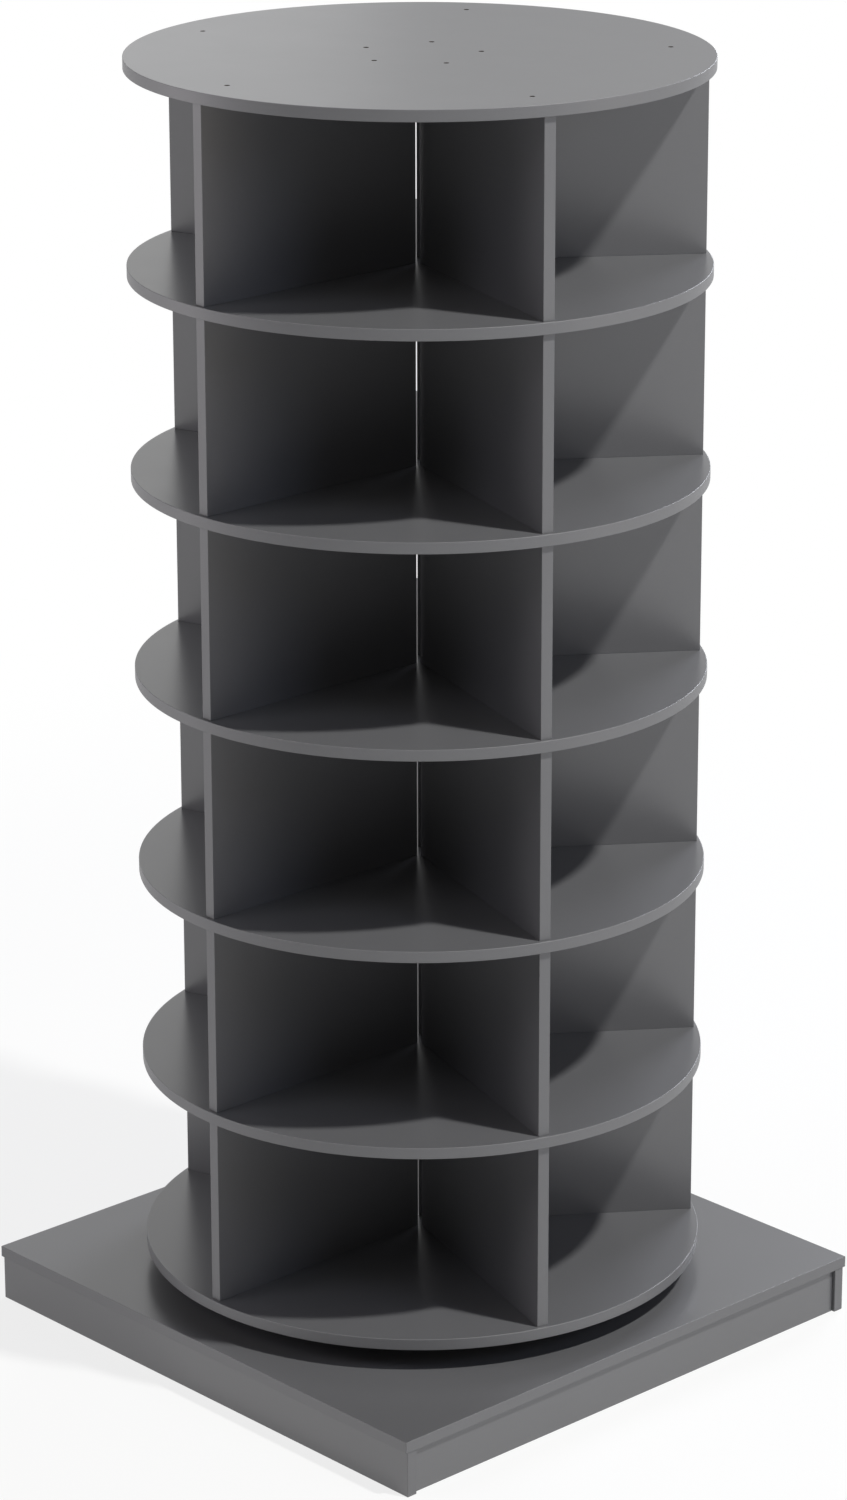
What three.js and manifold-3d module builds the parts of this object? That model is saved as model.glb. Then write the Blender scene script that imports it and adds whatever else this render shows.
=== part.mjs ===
// Rotating shoe tower: seven round boards and thirty upright panels make one drum of open
// compartments, which turns on a ring bearing above a square plinth.
// Millimetres, +Z up. The origin lies on the floor, under the axis that the drum turns about.

import * as THREE from 'three';
import { mergeVertices } from 'three/addons/utils/BufferGeometryUtils.js';
import Module from 'manifold-3d';

const wasm = await Module();
wasm.setup();

// Boards: everything but the bearing and the screws is cut from one thickness of board
const boardThickness = 15;

// Drum
const discDiameter = 735;
const panelHeight = 247;
const panelRimInset = 5; // from a disc's rim in to a panel's outer edge
const panelSlit = 5; // between the inner corners of neighbouring panels
const tierCount = 6;
const panelsPerTier = 5;
const discSides = 72;

// Plinth
const plinthWidth = 800; // along X
const plinthDepth = 800; // along Y
const apronHeight = 61;
const apronOverhang = 3.5; // the top board past the outer faces of the front and rear aprons
const apronEndOverhang = 1; // the top board past the ends of those aprons
const sideApronRecess = 4.75; // the side aprons' faces behind those ends
const lapClearance = 0.3; // round the half lap where the two rails cross

// Fixings: two on the centre line of each panel, near its outer and its inner edge
const outerFixingInset = 48; // from a panel's outer edge
const innerFixingInset = 62; // from a panel's inner edge
const fitClearance = 0.3; // round every dowel and screw
const holeEndRoom = 2; // past the end of a dowel or a screw in its blind hole

// Dowels, glued into the lower edges of the panels
const dowelDiameter = 8;
const dowelGrip = 20; // in each of the two panels that a dowel joins
const footDowelReach = 12; // of the lowest panels' dowels, into the bottom disc
const dowelSides = 8;

// Screws, through the top disc into the uppermost panels
const screwLength = 45;
const screwHeadDiameter = 6;
const screwHeadEdge = 1; // the straight edge of the head, above its cone
const screwHeadCone = 2;
const screwShankDiameter = 3.5;
const screwPoint = 6;
const screwSink = 1; // the head below the disc's upper face
const screwSocketDiameter = 3;
const screwSocketDepth = 2;
const screwSides = 10;

// Ring bearing: an outer ring on the plinth, an inner ring under the drum, balls in a cage between
const bearingPitchRadius = 190;
const bearingHeight = 15;
const ringHeight = 13; // of each ring, so that each clears the board it isn't fixed to
const ringWidth = 20;
const ringGap = 3; // between the facing walls of the two rings
const ballDiameter = 8;
const raceClearance = 0.4; // between the balls and their grooves
const cageThickness = 1.4;
const cageHeight = 5;
const spacerOverhang = 9; // the spacer disc past the inner ring
const ballCount = 15;
const ringSides = 60;
const grooveSteps = 4;
const ballSides = 6;
const ballRows = 4;

// One length that every cutting tool overshoots by
const overrun = 2;

// Angles
const fullTurn = 2 * Math.PI;
const quarterTurn = fullTurn / 4;
const panelStep = fullTurn / panelsPerTier;
const firstPanelAngle = -quarterTurn; // the first panel points along -Y at rest

// Places that follow from the sizes
const discRadius = discDiameter / 2;
const halfBoard = boardThickness / 2;
const panelOuterRadius = discRadius - panelRimInset;
const halfStep = panelStep / 2;
const panelInnerRadius = (halfBoard * Math.cos(halfStep) + panelSlit / 2) / Math.sin(halfStep);
const panelLength = panelOuterRadius - panelInnerRadius;
const panelMidRadius = (panelOuterRadius + panelInnerRadius) / 2;
const fixingRadii = [panelOuterRadius - outerFixingInset, panelInnerRadius + innerFixingInset];
const tierPitch = panelHeight + boardThickness;

const plinthTop = apronHeight + boardThickness;
const spacerBottom = plinthTop + bearingHeight;
const drumBottom = spacerBottom + boardThickness;
const drumHeight = tierCount * tierPitch + boardThickness;

// Finishes
const greyBoard = { color: 0x6a6b6d, roughness: 0.5, metalness: 0 };
const aluminium = { color: 0xb4b6b8, roughness: 0.4, metalness: 1 };
const blackScrew = { color: 0x1c1c1e, roughness: 0.45, metalness: 0.8 };
const paleCage = { color: 0xd2d0c8, roughness: 0.5, metalness: 0 };

// Solids

/** A closed geometry as a solid that can be cut and joined. */
function toSolid(geometry) {
  const bare = geometry.clone();
  bare.deleteAttribute('normal');
  bare.deleteAttribute('uv');
  const merged = mergeVertices(bare);
  return new wasm.Manifold(new wasm.Mesh({
    numProp: 3,
    vertProperties: new Float32Array(merged.attributes.position.array),
    triVerts: new Uint32Array(merged.index.array),
  }));
}

/** A solid back as a geometry. */
function toGeometry(solid) {
  const mesh = solid.getMesh();
  const geometry = new THREE.BufferGeometry();
  geometry.setAttribute('position', new THREE.BufferAttribute(mesh.vertProperties, 3));
  geometry.setIndex(new THREE.BufferAttribute(mesh.triVerts, 1));
  geometry.computeVertexNormals();
  return geometry;
}

/** A geometry with others joined to it. */
function joined(geometry, others) {
  return toGeometry(others.reduce((solid, other) => solid.add(toSolid(other)), toSolid(geometry)));
}

/** A geometry with others cut out of it. */
function cut(geometry, tools) {
  return toGeometry(tools.reduce((solid, tool) => solid.subtract(toSolid(tool)), toSolid(geometry)));
}

/** An upright round bar from one height to another. */
function uprightBar(radius, bottom, top, sides) {
  const bar = new THREE.CylinderGeometry(radius, radius, top - bottom, sides);
  return bar.rotateX(quarterTurn).translate(0, 0, (top + bottom) / 2);
}

/** A profile of [radius, height] points turned about the Z axis. */
function turned(profile, sides) {
  const points = profile.map(([radius, height]) => new THREE.Vector2(radius, height));
  return new THREE.LatheGeometry(points, sides).rotateX(quarterTurn);
}

/** The same shape at every fixing of a disc, turned and moved out to it. */
function atFixings(shape) {
  const copies = [];
  for (let panel = 0; panel < panelsPerTier; panel += 1) {
    for (const radius of fixingRadii) {
      copies.push(shape.clone().translate(radius, 0, 0).rotateZ(panelAngle(panel)));
    }
  }
  return copies;
}

/** The direction that a panel runs out in, from the axis. */
function panelAngle(panel) {
  return firstPanelAngle + panel * panelStep;
}

/** The heights of a screw's steps below the top of its head, for a radial growth of its outline. */
function screwOutline(growth) {
  const head = screwHeadDiameter / 2 + growth;
  const shank = screwShankDiameter / 2 + growth;
  return { head, shank, coneTop: -screwHeadEdge - growth, coneEnd: -screwHeadEdge - screwHeadCone - growth };
}

// Discs, each standing on its own lower face

function plainDisc(radius) {
  return uprightBar(radius, 0, boardThickness, discSides);
}

function shelfDisc() {
  const hole = uprightBar(
    dowelDiameter / 2 + fitClearance, -overrun, boardThickness + overrun, dowelSides,
  );
  return cut(plainDisc(discRadius), atFixings(hole));
}

function bottomDisc() {
  const holeBottom = boardThickness - footDowelReach - fitClearance;
  const hole = uprightBar(
    dowelDiameter / 2 + fitClearance, holeBottom, boardThickness + overrun, dowelSides,
  );
  return cut(plainDisc(discRadius), atFixings(hole));
}

function topDisc() {
  const { head, shank, coneTop, coneEnd } = screwOutline(fitClearance);
  const headTop = boardThickness - screwSink;
  const hole = turned([
    [0, -overrun],
    [shank, -overrun],
    [shank, headTop + coneEnd],
    [head, headTop + coneTop],
    [head, boardThickness + overrun],
    [0, boardThickness + overrun],
  ], screwSides);
  return cut(plainDisc(discRadius), atFixings(hole));
}

// A panel along +X, standing on its lower edge, with its two dowels glued in

function panel(dowelReach, topHoleRadius, topHoleDepth, holeSides) {
  const blank = new THREE.BoxGeometry(panelLength, boardThickness, panelHeight);
  blank.translate(panelMidRadius, 0, panelHeight / 2);
  const dowels = fixingRadii.map((radius) => (
    uprightBar(dowelDiameter / 2, -dowelReach, dowelGrip, dowelSides).translate(radius, 0, 0)
  ));
  const holes = fixingRadii.map((radius) => (
    uprightBar(topHoleRadius, panelHeight - topHoleDepth, panelHeight + overrun, holeSides)
      .translate(radius, 0, 0)
  ));
  return cut(joined(blank, dowels), holes);
}

function tierPanel(tier) {
  const isLowest = tier === 0;
  const isUppermost = tier === tierCount - 1;
  const dowelReach = isLowest ? footDowelReach : boardThickness + dowelGrip;
  if (isUppermost) {
    const reach = screwLength + screwSink - boardThickness;
    return panel(dowelReach, screwShankDiameter / 2 + fitClearance, reach + holeEndRoom, screwSides);
  }
  return panel(dowelReach, dowelDiameter / 2 + fitClearance, dowelGrip + holeEndRoom, dowelSides);
}

// A screw that hangs from the top of its head, with a round socket

function topScrew() {
  const { head, shank, coneTop, coneEnd } = screwOutline(0);
  const socket = screwSocketDiameter / 2;
  return turned([
    [0, -screwLength],
    [shank, -screwLength + screwPoint],
    [shank, coneEnd],
    [head, coneTop],
    [head, 0],
    [socket, 0],
    [socket, -screwSocketDepth],
    [0, -screwSocketDepth],
  ], screwSides);
}

// Bearing, from the plinth's top upwards

/** A ring whose groove faces outwards (side 1) or inwards (side -1), round the balls' circle. */
function grooveRing(bottom, side) {
  const wall = bearingPitchRadius - side * ringGap / 2;
  const back = wall - side * ringWidth;
  const grooveRadius = ballDiameter / 2 + raceClearance;
  const mouth = Math.acos(ringGap / 2 / grooveRadius);
  const profile = [[back, bottom], [wall, bottom]];
  for (let step = 0; step <= grooveSteps; step += 1) {
    const angle = -mouth + 2 * mouth * step / grooveSteps;
    profile.push([
      bearingPitchRadius - side * grooveRadius * Math.cos(angle),
      bearingHeight / 2 + grooveRadius * Math.sin(angle),
    ]);
  }
  profile.push([wall, bottom + ringHeight], [back, bottom + ringHeight], [back, bottom]);
  return turned(side > 0 ? profile : profile.reverse(), ringSides);
}

/** The cage band with its balls seated in it. */
function ballCage() {
  const inner = bearingPitchRadius - cageThickness / 2;
  const outer = bearingPitchRadius + cageThickness / 2;
  const low = (bearingHeight - cageHeight) / 2;
  const high = (bearingHeight + cageHeight) / 2;
  const band = turned([[inner, low], [outer, low], [outer, high], [inner, high], [inner, low]], ringSides);
  const ball = new THREE.SphereGeometry(ballDiameter / 2, ballSides, ballRows);
  ball.rotateX(quarterTurn).translate(bearingPitchRadius, 0, bearingHeight / 2);
  const balls = [];
  for (let index = 0; index < ballCount; index += 1) {
    balls.push(ball.clone().rotateZ(index * fullTurn / ballCount));
  }
  return joined(band, balls);
}

// Plinth rails, standing on the floor, half lapped where they cross

/** A rail along X of the given length, with its lap cut from the given height upwards to another. */
function lappedRail(length, lapBottom, lapTop) {
  const rail = new THREE.BoxGeometry(length, boardThickness, apronHeight);
  rail.translate(0, 0, apronHeight / 2);
  const lap = new THREE.BoxGeometry(
    boardThickness + 2 * lapClearance, boardThickness + 2 * overrun, lapTop - lapBottom,
  );
  lap.translate(0, 0, (lapTop + lapBottom) / 2);
  return cut(rail, [lap]);
}

// Assembly

const shoeTower = new THREE.Group();
const plinth = new THREE.Group();
const bearing = new THREE.Group();
const drum = new THREE.Group();
bearing.position.z = plinthTop;
drum.position.z = drumBottom;
shoeTower.add(plinth, bearing, drum);

/** Adds one named piece to a group and gives it its finish. */
function addPiece(group, name, geometry, finish) {
  const mesh = new THREE.Mesh(geometry, new THREE.MeshStandardMaterial(finish));
  mesh.name = name;
  group.add(mesh);
  return mesh;
}

// Plinth pieces

const topBoard = new THREE.BoxGeometry(plinthWidth, plinthDepth, boardThickness);
addPiece(plinth, 'plinth_top_board', topBoard, greyBoard).position.z = apronHeight + halfBoard;

const longApron = new THREE.BoxGeometry(
  plinthWidth - 2 * apronEndOverhang, boardThickness, apronHeight,
);
const longApronY = plinthDepth / 2 - apronOverhang - halfBoard;
addPiece(plinth, 'front_apron', longApron, greyBoard).position.set(0, -longApronY, apronHeight / 2);
addPiece(plinth, 'rear_apron', longApron, greyBoard).position.set(0, longApronY, apronHeight / 2);

const sideApronLength = 2 * (longApronY - halfBoard);
const sideApron = new THREE.BoxGeometry(boardThickness, sideApronLength, apronHeight);
const sideApronX = plinthWidth / 2 - apronEndOverhang - sideApronRecess - halfBoard;
addPiece(plinth, 'left_apron', sideApron, greyBoard).position.set(-sideApronX, 0, apronHeight / 2);
addPiece(plinth, 'right_apron', sideApron, greyBoard).position.set(sideApronX, 0, apronHeight / 2);

const crossRail = lappedRail(
  2 * (sideApronX - halfBoard), (apronHeight - lapClearance) / 2, apronHeight + overrun,
);
addPiece(plinth, 'cross_rail', crossRail, greyBoard);
const longRail = lappedRail(sideApronLength, -overrun, (apronHeight + lapClearance) / 2);
addPiece(plinth, 'long_rail', longRail, greyBoard).rotation.z = quarterTurn;

// Bearing pieces

addPiece(bearing, 'bearing_outer_ring', grooveRing(0, -1), aluminium);
addPiece(bearing, 'bearing_ball_cage', ballCage(), paleCage);
addPiece(bearing, 'bearing_inner_ring', grooveRing(bearingHeight - ringHeight, 1), aluminium);

// Drum pieces

const innerRingRadius = bearingPitchRadius - ringGap / 2;
const spacer = plainDisc(innerRingRadius + spacerOverhang);
addPiece(drum, 'spacer_disc', spacer, greyBoard).position.z = -boardThickness;

addPiece(drum, 'bottom_disc', bottomDisc(), greyBoard);
for (let tier = 0; tier < tierCount; tier += 1) {
  const floor = new THREE.Group();
  floor.position.z = tier * tierPitch;
  drum.add(floor);
  if (tier > 0) {
    addPiece(floor, `shelf_disc_${tier + 1}`, shelfDisc(), greyBoard);
  }
  for (let index = 0; index < panelsPerTier; index += 1) {
    const name = `tier_${tier + 1}_panel_${index + 1}`;
    const upright = addPiece(floor, name, tierPanel(tier), greyBoard);
    upright.position.z = boardThickness;
    upright.rotation.z = panelAngle(index);
  }
}
const topPlate = addPiece(drum, 'top_disc', topDisc(), greyBoard);
topPlate.position.z = drumHeight - boardThickness;

const fixingNames = ['outer', 'inner'];
for (let index = 0; index < panelsPerTier; index += 1) {
  const spoke = new THREE.Group();
  spoke.rotation.z = panelAngle(index);
  drum.add(spoke);
  fixingRadii.forEach((radius, place) => {
    const screw = addPiece(spoke, `${fixingNames[place]}_screw_${index + 1}`, topScrew(), blackScrew);
    screw.position.set(radius, 0, drumHeight - screwSink);
  });
}

export default shoeTower;
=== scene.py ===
"""Rotating shoe tower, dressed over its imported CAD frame.

Metres, +Z up. The origin lies on the floor, under the axis that the drum turns about. Every board
is a slab: an outline with rounded arrises between two flat faces, which are holed for its fixings.
"""

import logging
import math
from dataclasses import dataclass, field, replace
from enum import Enum, IntEnum

import bmesh
import bpy
import numpy as np
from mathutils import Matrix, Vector
from mathutils.geometry import tessellate_polygon


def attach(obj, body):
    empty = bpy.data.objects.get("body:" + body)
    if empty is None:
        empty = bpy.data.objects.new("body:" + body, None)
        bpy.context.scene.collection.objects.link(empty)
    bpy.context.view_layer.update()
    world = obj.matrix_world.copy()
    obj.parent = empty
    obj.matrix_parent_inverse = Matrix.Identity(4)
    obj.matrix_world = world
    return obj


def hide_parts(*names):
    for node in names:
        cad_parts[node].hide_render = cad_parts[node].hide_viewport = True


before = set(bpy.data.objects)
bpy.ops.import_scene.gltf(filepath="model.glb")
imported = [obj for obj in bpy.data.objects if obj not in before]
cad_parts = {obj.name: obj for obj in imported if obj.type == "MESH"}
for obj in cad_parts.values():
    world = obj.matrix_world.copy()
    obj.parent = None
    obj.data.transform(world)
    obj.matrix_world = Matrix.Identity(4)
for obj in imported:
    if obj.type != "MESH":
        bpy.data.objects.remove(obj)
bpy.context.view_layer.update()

log = logging.getLogger("shoe_tower")

Array = np.ndarray
Material = bpy.types.Material
Pair = tuple[float, float]
Triple = tuple[float, float, float]
Colour = tuple[float, float, float, float]
Inputs = dict[str | int, object]

FULL_TURN = 2 * math.pi
QUARTER_TURN = math.pi / 2
SMOOTH_CORNER = math.radians(25)  # a corner that turns less than this is part of a curve
MERGE_STEP = 1.37e-6  # points in the same cell of this size become one
MERGE_SHIFT = 0.317  # of a cell, which keeps round sizes away from the cells' borders


class Body(Enum):
    """The CAD body that a piece rides on."""

    PLINTH = "plinth"
    CAGE = "ball_cage"
    DRUM = "drum"


class Slot(Enum):
    """The record's material slot names; no piece here is given one."""

    BOARD = "grey_board"
    BEARING = "bearing_aluminium"
    CAGE = "cage_plastic"
    SCREW = "screw_black"


class Mark(Enum):
    """A number kept at every point of a surface, which its finish reads.

    The arris number is 1 in the middle of a rounded arris and 0 off it. The edge number is 1 on a
    board's cut edges and 0 on its broad faces.
    """

    ARRIS = "arris"
    EDGE = "edge"


class Skin(IntEnum):
    """Which of its piece's finishes a patch has, by their order on the piece."""

    OUTSIDE = 0
    BORE = 1
    DOWEL = 2


class Ray(Enum):
    """A kind of ray that shows something."""

    CAMERA = "Is Camera Ray"
    GLOSSY = "Is Glossy Ray"
    THROUGH = "Is Transmission Ray"


class Broad(Enum):
    """The axis that a board's broad faces look along."""

    X = (1, 0, 0)
    Y = (0, 1, 0)
    Z = (0, 0, 1)


class Lie(Enum):
    """How a slab on edge lies: which of its own axes becomes X, Y and Z."""

    ALONG_X = (0, 2, 1)
    ALONG_Y = (2, 0, 1)


class Groove(Enum):
    """The way that a ring's groove looks from the ring."""

    OUTWARDS = 1
    INWARDS = -1


# Surfaces


def turn_angles(count: int) -> Array:
    """Angles spread evenly round a full turn."""
    return np.arange(count) * FULL_TURN / count


def polar(radius: float, angle: float) -> Pair:
    """The point at a radius and an angle from the axis."""
    return radius * math.cos(angle), radius * math.sin(angle)


def circle_points(centre: Pair, radius: float, columns: int) -> Array:
    """Points evenly round a circle, anticlockwise from +X, one row of x and y each."""
    angle = turn_angles(columns)
    return np.array(centre) + radius * np.stack([np.cos(angle), np.sin(angle)], axis=1)


def around(radius: Array, height: Array, angle: Array) -> Array:
    """Rows by columns of points round Z: radius times the angle's cosine and sine, and height."""
    radius, height, angle = np.broadcast_arrays(radius, height, angle)
    return np.stack([radius * np.cos(angle), radius * np.sin(angle), height], axis=2)


def spin(angle: float) -> Array:
    """The matrix that turns rows of places anticlockwise about Z."""
    cosine, sine = math.cos(angle), math.sin(angle)
    return np.array([(cosine, sine, 0), (-sine, cosine, 0), (0, 0, 1)])


@dataclass(frozen=True)
class Outline:
    """A closed outline sampled round its corners.

    A sample of the true outline is ``core + fillet * push``; ``normal`` is the way it faces, and
    ``wear`` is 1 in the middle of a rounded corner and 0 along the straights.
    """

    core: Array
    push: Array
    normal: Array
    wear: Array
    fillet: float

    @classmethod
    def filleted(cls, corners: Array, fillet: float, steps: int = 4) -> "Outline":
        """Rounds the corners of an anticlockwise polygon.

        The core is each corner drawn in by the fillet along its mitre, the sum of the two edge
        normals over one plus their dot product. A sharp convex corner gets an arc of samples whose
        push is their own normal, a sharp hollow one gets two samples, and a corner that barely
        turns, as on a circle, gets one, pushed along its mitre.

        Args:
            corners: Corner points, one row each.
            fillet: Radius of the rounding.
            steps: Number of steps in each arc.

        Returns:
            The sampled outline.
        """
        edge = corners - np.roll(corners, 1, axis=0)
        edge = edge / np.linalg.norm(edge, axis=1, keepdims=True)
        normal_in = np.stack([edge[:, 1], -edge[:, 0]], axis=1)
        normal_out = np.roll(normal_in, -1, axis=0)
        cosine = np.sum(normal_in * normal_out, axis=1)
        sine = normal_in[:, 0] * normal_out[:, 1] - normal_in[:, 1] * normal_out[:, 0]
        turn = np.arctan2(sine, cosine)
        start = np.arctan2(normal_in[:, 1], normal_in[:, 0])
        mitre = (normal_in + normal_out) / (1 + cosine)[:, None]
        smooth = np.abs(turn) < SMOOTH_CORNER
        counts = np.where(smooth, 1, np.where(turn > 0, steps + 1, 2))
        corner = np.repeat(np.arange(len(corners)), counts)
        place = np.arange(len(corner)) - (np.cumsum(counts) - counts)[corner]
        share = np.where(smooth[corner], 0.5, place / np.maximum(counts[corner] - 1, 1))
        angle = start[corner] + turn[corner] * share
        normal = np.stack([np.cos(angle), np.sin(angle)], axis=1)
        arc = ~smooth[corner] & (turn[corner] > 0)
        return cls(
            core=corners[corner] - fillet * mitre[corner],
            push=np.where(arc[:, None], normal, mitre[corner]),
            normal=normal,
            wear=np.where(arc, np.sin(math.pi * share), 0.0),
            fillet=fillet,
        )

    @classmethod
    def circle(cls, radius: float, fillet: float, columns: int) -> "Outline":
        """A circle about the origin, as a polygon of that many columns."""
        return cls.filleted(circle_points((0, 0), radius, columns), fillet)

    @classmethod
    def rectangle(cls, corner: Pair, opposite: Pair, fillet: float) -> "Outline":
        """An upright rectangle between two opposite corners."""
        (x0, y0), (x1, y1) = np.minimum(corner, opposite), np.maximum(corner, opposite)
        return cls.filleted(np.array([(x0, y0), (x1, y0), (x1, y1), (x0, y1)], float), fillet)

    def samples(self) -> Array:
        """The true outline's points."""
        return self.core + self.fillet * self.push

    def core_loop(self) -> Array:
        """The core's points, without the repeats at the corners."""
        moved = np.linalg.norm(self.core - np.roll(self.core, 1, axis=0), axis=1)
        return self.core[moved > MERGE_STEP]


@dataclass(frozen=True)
class Bore:
    """A turned recess or peg on a slab's flat face, as bands from the face inwards or outwards.

    Band k runs from ``radii[k], heights[k]`` to ``radii[k + 1], heights[k + 1]``. ``flutes`` is the
    share of the flute depth that each end of a band has.
    """

    radii: tuple[float, ...]
    heights: tuple[float, ...]
    centre: Pair = (0, 0)
    peg: bool = False
    flutes: tuple[float, ...] = ()
    skin: Skin = Skin.BORE
    columns: int = 24

    def rim(self, row: int) -> Array:
        """The circle at one end of a band."""
        return circle_points(self.centre, self.radii[row], self.columns)


@dataclass
class Shell:
    """A closed surface, gathered patch by patch and then written as one mesh.

    A face is a row of four point numbers, and a triangle repeats its last one.
    """

    points: list[Array] = field(default_factory=list)
    normals: list[Array] = field(default_factory=list)
    marks: list[Array] = field(default_factory=list)
    faces: list[Array] = field(default_factory=list)
    skins: list[Array] = field(default_factory=list)
    crease: float | None = None

    def add(self, points: Array, normals: Array, marks: Array, faces: Array, skin: Skin) -> None:
        """Adds a patch.

        Args:
            points: Places, any shape that ends in three.
            normals: The way each point faces, of the same shape.
            marks: The arris and edge numbers, any shape that ends in two.
            faces: Rows of four numbers of this patch's own points.
            skin: Which of the piece's finishes the patch has.
        """
        taken = sum(len(patch) for patch in self.points)
        self.points.append(points.reshape(-1, 3))
        self.normals.append(normals.reshape(-1, 3))
        self.marks.append(marks.reshape(-1, len(Mark)))
        self.faces.append(faces + taken)
        self.skins.append(np.full(len(faces), skin.value))

    def grid(
        self,
        points: Array,
        normals: Array | None = None,
        marks: Array | None = None,
        closed_rows: bool = False,
        skin: Skin = Skin.OUTSIDE,
    ) -> None:
        """Adds a patch of rows and columns, whose columns close on themselves.

        Args:
            points: Places, as rows by columns by three.
            normals: The way each point faces, or None where the piece has a crease angle.
            marks: The arris and edge numbers, as rows by columns by two, or None for zeros.
            closed_rows: Whether the last row joins the first.
            skin: Which of the piece's finishes the patch has.
        """
        rows, columns = points.shape[:2]
        index = np.arange(rows * columns).reshape(rows, columns)
        beside = np.roll(index, -1, axis=1)
        above, above_beside = np.roll(index, -1, axis=0), np.roll(beside, -1, axis=0)
        faces = np.stack([index, beside, above_beside, above], axis=-1)
        faces = (faces if closed_rows else faces[:-1]).reshape(-1, 4)
        normals = np.zeros_like(points) if normals is None else normals
        marks = np.zeros((rows, columns, len(Mark))) if marks is None else marks
        self.add(points, normals, marks, faces, skin)

    def flat(self, loops: list[Array], height: float, up: bool, mark: float) -> None:
        """Adds a flat face at a height.

        Args:
            loops: The outer loop, and then one loop for each hole in it.
            height: The face's height.
            up: Whether it faces up.
            mark: Its edge number.
        """
        corners = np.concatenate(loops)
        points = np.column_stack([corners, np.full(len(corners), height)])
        normals = np.tile([0.0, 0.0, 1.0 if up else -1.0], (len(corners), 1))
        triangles = tessellate_polygon([[Vector((x, y, 0)) for x, y in loop] for loop in loops])
        faces = np.array(triangles)[:, [0, 1, 2, 2]]
        marks = np.tile([0.0, mark], (len(corners), 1))
        self.add(points, normals, marks, faces, Skin.OUTSIDE)

    def slab(
        self,
        outline: Outline,
        low: float,
        high: float,
        bores_up: tuple[Bore, ...] = (),
        bores_down: tuple[Bore, ...] = (),
        broad: Broad = Broad.Z,
        steps: int = 4,
    ) -> "Shell":
        """Adds a board: an outline carried up from one height to another.

        With the swing s running from a quarter turn down to a quarter turn up, a point of the wall
        is the outline's core pushed out by fillet * cos s, at the height of the lower or upper
        arris centre plus fillet * sin s. Its normal is the outline's normal times cos s, with sin s
        upwards. The arris number is the square of sin 2s, or the outline's wear times cos s where
        that is more, and the edge number is how far the normal leans from the broad faces.

        Args:
            outline: The outline and its fillet, which the arrises share.
            low: Height of the lower face.
            high: Height of the upper face.
            bores_up: Recesses that open in the upper face.
            bores_down: Pegs on the lower face.
            broad: The axis that the board's broad faces look along.
            steps: Number of steps round an arris.

        Returns:
            The shell itself.
        """
        fillet = outline.fillet
        quarter = np.linspace(0, QUARTER_TURN, steps + 1)
        swing = np.concatenate([-quarter[::-1], quarter])
        middle = np.repeat([low + fillet, high - fillet], steps + 1)
        out, rise = np.cos(swing)[:, None], np.sin(swing)[:, None]
        plan = outline.core + outline.push * (fillet * out)[..., None]
        height = np.broadcast_to(middle[:, None] + fillet * rise, plan.shape[:2])
        points = np.concatenate([plan, height[..., None]], axis=2)
        lean = np.broadcast_to(rise[..., None], (*plan.shape[:2], 1))
        normals = np.concatenate([outline.normal * out[..., None], lean], axis=2)
        arris = np.maximum(np.sin(2 * swing)[:, None] ** 2, outline.wear * out)
        edge = 1 - np.abs(normals @ np.array(broad.value, float))
        self.grid(points, normals, np.stack([arris, edge], axis=2))
        loop, mark = outline.core_loop(), 1.0 - broad.value[2]
        through = [bore for bore in bores_up if abs(bore.heights[-1] - low) < MERGE_STEP]
        feet = [bore.rim(-1) for bore in through] + [bore.rim(0) for bore in bores_down]
        self.flat([loop, *(bore.rim(0) for bore in bores_up)], high, True, mark)
        self.flat([loop, *feet], low, False, mark)
        for bore in (*bores_up, *bores_down):
            self.bands(bore)
        return self

    def bands(self, bore: Bore, flute_count: int = 12, flute_depth: float = 0.00018) -> None:
        """Adds a turned wall of straight bands.

        The normal of a band is its direction turned by a quarter turn, towards the axis on a
        recess and away from it on a peg. A fluted row's radius loses the flute depth times the
        positive part of the cosine of flute_count times the angle.

        Args:
            bore: The recess or peg.
            flute_count: Number of flutes round it.
            flute_depth: How deep they are.
        """
        rows = np.column_stack([bore.radii, bore.heights, bore.flutes or [0.0] * len(bore.radii)])
        along = np.diff(rows[:, :2], axis=0)
        along = along / np.linalg.norm(along, axis=1, keepdims=True)
        across = np.stack([along[:, 1], -along[:, 0]], axis=1) * (-1 if bore.peg else 1)
        facing = np.repeat(across, 2, axis=0)
        ends = np.stack([rows[:-1], rows[1:]], axis=1).reshape(-1, 3, 1)
        radius, height, share = ends.swapaxes(0, 1)
        angle = turn_angles(bore.columns)
        dip = flute_depth * share * np.maximum(np.cos(flute_count * angle), 0)
        points = around(radius - dip, height, angle) + np.array([*bore.centre, 0])
        normals = around(facing[:, :1], facing[:, 1:], angle)
        self.grid(points, normals, skin=bore.skin)

    def revolved(self, outline: Outline, columns: int) -> "Shell":
        """Adds a closed profile turned about the Z axis.

        Args:
            outline: The profile, with the radius as x and the height as y.
            columns: Number of columns round the axis.

        Returns:
            The shell itself.
        """
        angle = turn_angles(columns)
        profile, facing = outline.samples(), outline.normal
        points = around(profile[:, :1], profile[:, 1:], angle)
        normals = around(facing[:, :1], facing[:, 1:], angle)
        wear = np.broadcast_to(outline.wear[:, None], points.shape[:2])
        self.grid(points, normals, np.stack([wear, 0 * wear], axis=2), closed_rows=True)
        return self

    def moved(self, matrix: Array, shift: Triple = (0, 0, 0)) -> "Shell":
        """A copy with its rows multiplied by a matrix and its places then shifted."""
        points = [patch @ matrix + np.array(shift) for patch in self.points]
        return replace(self, points=points, normals=[patch @ matrix for patch in self.normals])

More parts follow.
